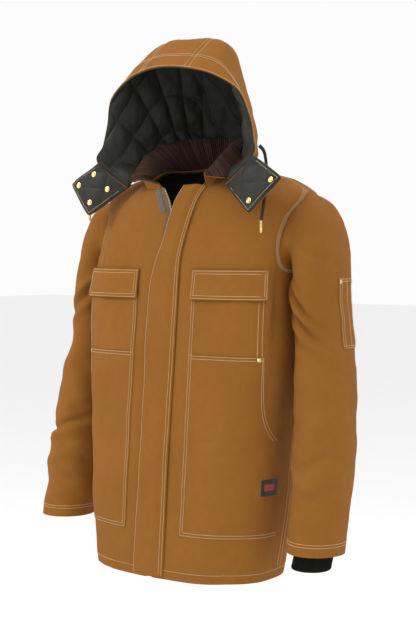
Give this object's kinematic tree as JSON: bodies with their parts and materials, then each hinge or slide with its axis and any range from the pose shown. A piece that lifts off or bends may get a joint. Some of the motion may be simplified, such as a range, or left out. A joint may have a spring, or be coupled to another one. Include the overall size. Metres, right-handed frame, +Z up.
{
  "type": "hooded work parka",
  "caption": "Brown cotton duck work parka: zip front under a storm flap, patch pockets, quilted lining, corduroy collar, knit cuffs and detachable hood.",
  "frame": {"origin": "gap of the hanger loop inside the back neck, where a coat hook holds the coat", "axes": "+Z up, front towards -Y, wearer's left towards +X"},
  "size_m": [0.8082, 0.3474, 1.1544],
  "materials": {
    "duck_cloth": "matte brown cotton duck",
    "quilted_lining": "black nylon, diamond quilted, slight sheen",
    "corduroy": "dark brown corduroy",
    "brass": "polished brass",
    "zip_tape": "woven tape",
    "touch_tape": "brushed loop pile",
    "rib_knit": "rib knit",
    "lace": "flat braid",
    "label": "woven patch",
    "label_mark": "woven patch",
    "loop_tape": "webbing"
  },
  "bodies": {
    "coat": {"back_panel": "duck_cloth", "front_panel_left": "duck_cloth", "front_panel_right": "duck_cloth", "lining_back": "quilted_lining", "lining_left": "quilted_lining", "lining_right": "quilted_lining", "collar_shell": "duck_cloth", "collar_corduroy": "corduroy", "hanger_loop": "loop_tape", "neck_snaps": "brass", "zip_tape_left": "zip_tape", "zip_tape_right": "zip_tape", "zip_teeth_left": "brass", "zip_teeth_right": "brass", "zip_top_stops": "brass", "zip_box": "brass", "storm_flap_root": "duck_cloth", "loop_patches": "touch_tape", "hand_pocket_left": "duck_cloth", "hand_pocket_right": "duck_cloth", "chest_pocket_left": "duck_cloth", "chest_pocket_right": "duck_cloth", "pocket_rivets": "brass", "label_patch": "label", "label_mark": "label_mark"},
    "storm_flap": {"storm_flap": "duck_cloth", "storm_flap_fold": "duck_cloth", "hook_patches": "touch_tape"},
    "chest_flap_left": {"chest_flap_left": "duck_cloth"},
    "chest_flap_right": {"chest_flap_right": "duck_cloth"},
    "zip_slider": {"zip_slider": "brass", "zip_pull": "brass"},
    "sleeve_left": {"sleeve_left": "duck_cloth", "sleeve_lining_left": "quilted_lining", "knit_cuff_left": "rib_knit", "sleeve_pocket": "duck_cloth", "sleeve_rivets": "brass"},
    "sleeve_right": {"sleeve_right": "duck_cloth", "sleeve_lining_right": "quilted_lining", "knit_cuff_right": "rib_knit"},
    "hood": {"hood_centre_panel": "duck_cloth", "hood_side_left": "duck_cloth", "hood_side_right": "duck_cloth", "hood_lining": "quilted_lining", "hood_eyelets": "brass", "lace_left": "lace", "lace_right": "lace", "aglet_left": "brass", "aglet_right": "brass"},
    "tab_left": {"hood_tab_left": "duck_cloth", "tab_lining_left": "quilted_lining", "tab_snaps_left": "brass"},
    "tab_right": {"hood_tab_right": "duck_cloth", "tab_lining_right": "quilted_lining", "tab_snaps_right": "brass"}
  },
  "joints": [
    {"name": "sleeve_left_raise", "type": "hinge", "parent": "coat", "child": "sleeve_left", "pos_m": [0.266, -0.047, -0.06], "axis": [0, -1, 0], "range_deg": [0, 75]},
    {"name": "sleeve_right_raise", "type": "hinge", "parent": "coat", "child": "sleeve_right", "pos_m": [-0.266, -0.047, -0.06], "axis": [0, 1, 0], "range_deg": [0, 75]},
    {"name": "hood_fold_back", "type": "hinge", "parent": "coat", "child": "hood", "pos_m": [0, 0.037, 0.018], "axis": [-1, 0, 0], "range_deg": [0, 70]},
    {"name": "tab_left_swing", "type": "hinge", "parent": "hood", "child": "tab_left", "pos_m": [0.137, -0.1785, -0.036], "axis": [-0.799, 0.0922, -0.5942], "range_deg": [0, 90]},
    {"name": "tab_right_swing", "type": "hinge", "parent": "hood", "child": "tab_right", "pos_m": [-0.137, -0.1785, -0.036], "axis": [-0.799, -0.0922, 0.5942], "range_deg": [0, 90]},
    {"name": "chest_flap_left_lift", "type": "hinge", "parent": "coat", "child": "chest_flap_left", "pos_m": [0.155, -0.2095, -0.2135], "axis": [-1, 0, 0], "range_deg": [0, 110]},
    {"name": "chest_flap_right_lift", "type": "hinge", "parent": "coat", "child": "chest_flap_right", "pos_m": [-0.155, -0.2095, -0.2135], "axis": [-1, 0, 0], "range_deg": [0, 110]},
    {"name": "storm_flap_open", "type": "hinge", "parent": "coat", "child": "storm_flap", "pos_m": [0.028, -0.26599, -0.86773], "axis": [0, 0.0916, 0.9958], "range_deg": [0, 100]},
    {"name": "zip_slide", "type": "slide", "parent": "coat", "child": "zip_slider", "axis": [0, -0.0916, -0.9958], "range_m": [0, 0.69]}
  ]
}
